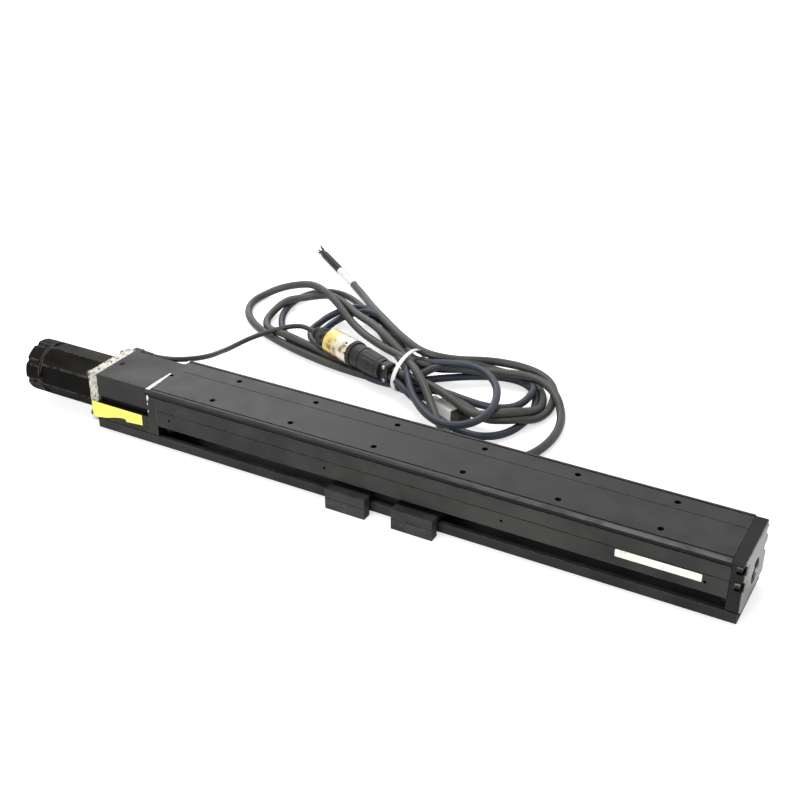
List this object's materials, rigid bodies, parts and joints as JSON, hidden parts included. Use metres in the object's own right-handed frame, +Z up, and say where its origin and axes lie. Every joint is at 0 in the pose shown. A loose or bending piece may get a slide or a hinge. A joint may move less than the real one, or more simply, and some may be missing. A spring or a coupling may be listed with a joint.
{
  "type": "ball screw linear module",
  "caption": "Ball screw linear module with a round motor, coupling housing, slotted black aluminium body, side-arm slider and tied motor cables.",
  "frame": {"origin": "on the surface the slider feet stand on, under the middle of the module's box without its cables", "axes": "+X along the screw from the motor to the far end, +Y towards the cables behind, +Z up out of the mounting face, which faces up as pictured"},
  "size_m": [0.852, 0.5885, 0.072],
  "materials": {
    "black_anodised": "satin black anodised",
    "bare_aluminium": "bare milled",
    "grey_flange": "speckled cast",
    "motor_black": "satin black paint",
    "steel": "ground",
    "screw_steel": "bright",
    "winding": "laminated iron and copper wire",
    "seal_rubber": "matte",
    "encoder_plastic": "gloss",
    "cable_black": "satin jacket",
    "cable_grey": "satin jacket",
    "connector_black": "satin black",
    "connector_gold": "plated, stained",
    "white_plastic": "matte"
  },
  "bodies": {
    "base": {"base_channel": "black_anodised", "drive_end_block": "black_anodised", "end_cap": "black_anodised", "bottom_cover": "black_anodised", "coupling_cradle": "black_anodised", "coupling_hood": "black_anodised", "end_plate": "bare_aluminium", "motor_adapter_plate": "bare_aluminium", "motor_flange": "grey_flange", "motor_case": "motor_black", "motor_rear_cap": "motor_black", "guide_rail_front": "steel", "guide_rail_back": "steel", "bearing_cartridge": "steel", "fixed_bearing_outer_rings": "steel", "support_bearing_outer_ring": "steel", "motor_bearing_outer_rings": "steel", "end_cap_screws": "screw_steel", "cover_screws": "screw_steel", "hood_screw": "screw_steel", "rail_screws": "screw_steel", "motor_flange_screws": "screw_steel", "motor_stator": "winding", "travel_bumpers": "seal_rubber", "lead_boot": "seal_rubber", "motor_lead": "cable_black", "cable_hank": "cable_grey", "power_cable_tail": "cable_grey", "lead_receptacle": "connector_black", "plug_back_shell": "connector_black", "plug_cable_clamp": "connector_black", "tail_heat_shrink": "connector_black", "cable_tie": "white_plastic", "tail_marker_sleeve": "white_plastic", "signal_plug": "white_plastic"},
    "carriage": {"slider_saddle": "black_anodised", "guide_block_front_left": "steel", "guide_block_back_left": "steel", "guide_block_front_right": "steel", "guide_block_back_right": "steel", "guide_block_seals": "seal_rubber", "ball_nut": "steel", "nut_screws": "screw_steel", "riser_front_left": "black_anodised", "riser_back_left": "black_anodised", "riser_front_right": "black_anodised", "riser_back_right": "black_anodised", "riser_screws": "screw_steel"},
    "screw": {"ball_screw_shaft": "steel", "screw_lock_nut": "steel", "fixed_bearing_inner_rings": "steel", "support_bearing_inner_ring": "steel", "coupling_hub_screw": "bare_aluminium", "coupling_spider": "seal_rubber", "coupling_hub_motor": "bare_aluminium", "motor_shaft": "steel", "motor_rotor": "steel", "encoder_disc": "encoder_plastic", "motor_bearing_inner_rings": "steel"},
    "connector_ring": {"connector_ring": "connector_gold"}
  },
  "joints": [
    {"name": "carriage_slide", "type": "slide", "parent": "base", "child": "carriage", "axis": [1, 0, 0], "range_m": [-0.218, 0.282]},
    {"name": "screw_spin", "type": "hinge", "parent": "base", "child": "screw", "pos_m": [0, 0, 0.039], "axis": [1, 0, 0], "range_deg": [-10160, 7860]},
    {"name": "connector_ring_turn", "type": "hinge", "parent": "base", "child": "connector_ring", "pos_m": [-0.1657, 0.2327, 0.031], "axis": [0.9367, -0.3502, 0], "range_deg": [0, 120]}
  ],
  "couplings": [
    {"joint": "screw_spin", "follows": "carriage_slide", "rad_per_m": -628.32}
  ]
}
